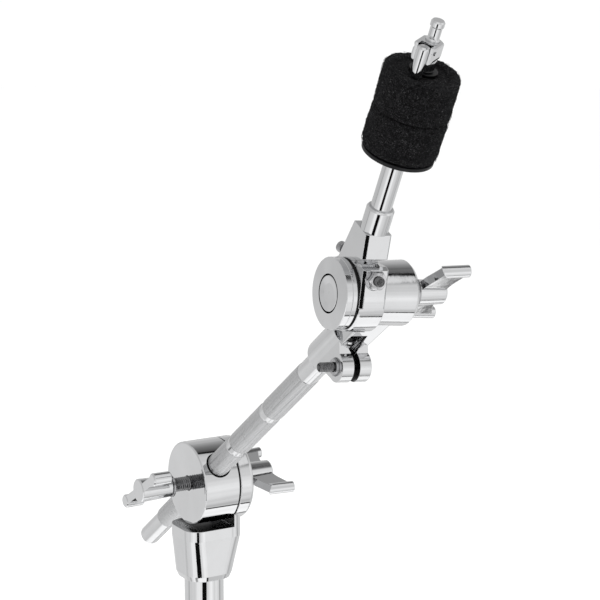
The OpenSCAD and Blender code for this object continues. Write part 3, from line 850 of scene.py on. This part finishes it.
def floor():
    mesh = bpy.data.meshes.new("floor")
    edit = bmesh.new()
    bmesh.ops.create_circle(edit, cap_ends=True, segments=128, radius=6.0)
    edit.to_mesh(mesh)
    edit.free()
    material, tree = new_material("floor_white")
    clouds = tree.noise(tree.coords(), scale=12.0, detail=4.0, roughness=0.6)
    tree.surface(Base_Color=tree.mix(clouds, rgb(0.90, 0.90, 0.90), rgb(0.93, 0.93, 0.93)),
                 Roughness=0.9, Specular_IOR_Level=0.0,
                 Emission_Color=rgb(1, 1, 1), Emission_Strength=0.16)
    ob = add_object("floor", mesh, material)
    ob.location = (0, 0, FLOOR_Z)
    ob.visible_glossy = False


floor()

# ------------------------------------------------------------------ studio
# Azimuth is 0 towards -y and 90 towards +x; it and elevation are in degrees.
DEGREES = 57.29578
# a dark gap in the tent leans with elevation and narrows upwards
GAP_AZIMUTH = -7.65
GAP_LEAN = 0.9525       # degrees sideways per degree up
GAP_HALF_WIDTH = 9.47
GAP_TAPER = 0.1725
GAP_DARKNESS = 0.995
# degrees from the gap's middle line, brightness of the tent
TENT = [(-180, 0.55), (-150, 0.56), (-128, 0.58), (-110, 0.54), (-90, 0.54), (-54, 0.63),
        (-42, 0.77), (-20, 0.84), (16, 0.60), (24, 0.69), (30, 0.78), (39, 0.88), (48, 0.80),
        (55, 0.71), (76, 0.69), (92, 0.63), (101, 0.44), (111, 0.54), (122, 0.56),
        (137, 0.52), (180, 0.55)]
# the overhead softbox ends in a black edge: share of the way across it, brightness
SOFTBOX_DIR = (-0.864, -0.197, 0.463)
SOFTBOX = [(0.0, 1.0), (0.28, 0.92), (0.60, 0.52), (0.80, 0.22), (0.826, 0.18),
           (0.832, 0.01), (0.862, 0.01), (0.87, 1.0), (1.0, 1.0)]
FLOOR_LEVEL = 0.88
# darker poles at the tent's seams: azimuth, half width, darkening
POLES = [(151.0, 4.2, 0.95), (78.0, 2.4, 0.35), (-126.0, 2.2, 0.30), (35.0, 1.2, 0.10)]
POLE_BLUR = 1.4
# what the other rays see
SOFT_LIGHT = rgb(0.92, 0.92, 0.92)
BACKDROP = rgb(1.02, 1.02, 1.02)


def studio():
    """world whose reflections are a light tent; the camera sees plain white"""
    world = bpy.data.worlds.new("studio")
    scene.world = world
    world.use_nodes = True
    tree = Tree(world.node_tree)
    ease, linear, times, minus = tree.ease, tree.linear, tree.times, tree.minus
    direction = tree.coords("Generated")
    split = tree.node("ShaderNodeSeparateXYZ")
    tree.put(split.inputs[0], direction)
    x, y, z = split.outputs
    azimuth = times(tree.math("ARCTAN2", x, times(y, -1.0)), DEGREES)
    elevation = times(tree.math("ARCSINE", z), DEGREES)

    lowest, highest = -66.0, 12.0       # the lean stops at these elevations
    bounded = tree.math("MINIMUM", tree.math("MAXIMUM", elevation, lowest), highest)
    aside = minus(azimuth, tree.plus(times(bounded, GAP_LEAN), GAP_AZIMUTH))
    aside = tree.math("WRAP", aside, 180.0, -180.0)
    light = tree.ramp(linear(aside, over=(-180, 180)),
                      stops=[((degrees + 180.0) / 360.0, level) for degrees, level in TENT])
    half_width = minus(GAP_HALF_WIDTH, times(bounded, GAP_TAPER))
    outside = minus(tree.math("ABSOLUTE", aside), half_width)
    gap = times(ease(outside, over=(-0.7, 0.7), to=(1.0, 0.0)),
                times(ease(elevation, over=(-9.0, -5.0), to=(1.0, 0.0)),
                      ease(elevation, over=(-68.0, -60.0))))

    # the tent is dimmer above the lens and a little darker overhead
    light = times(light, linear(elevation, over=(-17.0, -5.0), to=(1.0, 0.84)))
    light = times(light, linear(elevation, over=(30.0, 60.0), to=(1.0, 0.92)))
    across = tree.dot(direction, SOFTBOX_DIR)
    softbox = tree.ramp(linear(across, over=(-0.6, 0.1)), stops=SOFTBOX)
    overhead = times(ease(elevation, over=(24.0, 46.0)), ease(x, over=(0.05, 0.2)))
    light = times(light, tree.plus(times(softbox, overhead), tree.inverse(overhead)))

    # underfoot: a black table edge towards +x, then the white floor
    underfoot = ease(elevation, over=(-56.0, -57.5))
    light = tree.plus(times(light, tree.inverse(underfoot)), times(underfoot, FLOOR_LEVEL))
    table_edge = times(times(ease(elevation, over=(-57.6, -57.0)),
                             ease(elevation, over=(-54.6, -55.2))),
                       ease(x, over=(0.1, 0.3), to=(0.0, 0.93)))
    light = times(light, tree.inverse(table_edge))

    pole_height = times(ease(elevation, over=(-2.0, -8.0)), ease(elevation, over=(-56.0, -50.0)))
    for centre, half, darkening in POLES:
        distance = tree.math("ABSOLUTE", minus(azimuth, centre))
        pole = ease(distance, over=(half, half + POLE_BLUR), to=(darkening, 0.0))
        light = times(light, tree.inverse(times(pole, pole_height)))
    clouds = tree.noise(direction, scale=2.6, detail=3.0, roughness=0.55, distortion=0.4)
    light = times(light, linear(clouds, over=(0.3, 0.7), to=(0.90, 1.10)))
    light = times(light, tree.inverse(times(gap, GAP_DARKNESS)))
    # the levels above are as seen in the chrome
    light = tree.math("DIVIDE", light, CHROME_GREY)

    ray = tree.node("ShaderNodeLightPath")
    background = tree.node("ShaderNodeBackground")
    reflected = tree.node("ShaderNodeCombineColor")
    for i in range(3):
        tree.put(reflected.inputs[i], light)
    colour = tree.mix(ray.outputs["Is Glossy Ray"], SOFT_LIGHT, reflected.outputs[0])
    colour = tree.mix(ray.outputs["Is Camera Ray"], colour, BACKDROP)
    tree.put(background.inputs[0], colour)
    out = tree.node("ShaderNodeOutputWorld")
    tree.put(out.inputs[0], background.outputs[0])


studio()


def area_light(name, place, size, power):
    """square light aimed at the middle of the arm, unseen in reflections"""
    target = Vector((0, -0.12, 0.35))
    light = bpy.data.lights.new(name, "AREA")
    light.energy = power
    light.size = size
    ob = bpy.data.objects.new(name, light)
    ob.location = place
    ob.rotation_euler = (target - Vector(place)).to_track_quat("-Z", "Y").to_euler()
    ob.visible_glossy = False
    scene.collection.objects.link(ob)


area_light("key", place=(-0.9, -1.1, 1.5), size=0.9, power=14.0)
area_light("fill", place=(1.1, -0.5, 0.8), size=0.8, power=5.0)


# ------------------------------------------------------------------ camera
def camera(place, azimuth, elevation, lens):
    """camera standing off in the given direction and looking back along it"""
    side, rise = math.radians(azimuth), math.radians(elevation)
    back = Vector((math.sin(side) * math.cos(rise), -math.cos(side) * math.cos(rise),
                   math.sin(rise)))
    right = Vector((math.cos(side), math.sin(side), 0))
    up = back.cross(right)
    data = bpy.data.cameras.new("camera")
    data.sensor_width = 36.0
    data.lens = lens
    data.clip_start = 0.05
    data.clip_end = 60.0
    ob = bpy.data.objects.new("camera", data)
    scene.collection.objects.link(ob)
    pose = Matrix((right, up, back)).transposed().to_4x4()
    pose.translation = Vector(place)
    ob.matrix_world = pose
    scene.camera = ob


camera(place=(-0.52947, -1.00606, 0.55612), azimuth=-30.5, elevation=11.1, lens=125.76)
scene.view_settings.view_transform = "Standard"
scene.view_settings.look = "None"
scene.view_settings.exposure = 0.0

bpy.context.view_layer.update()
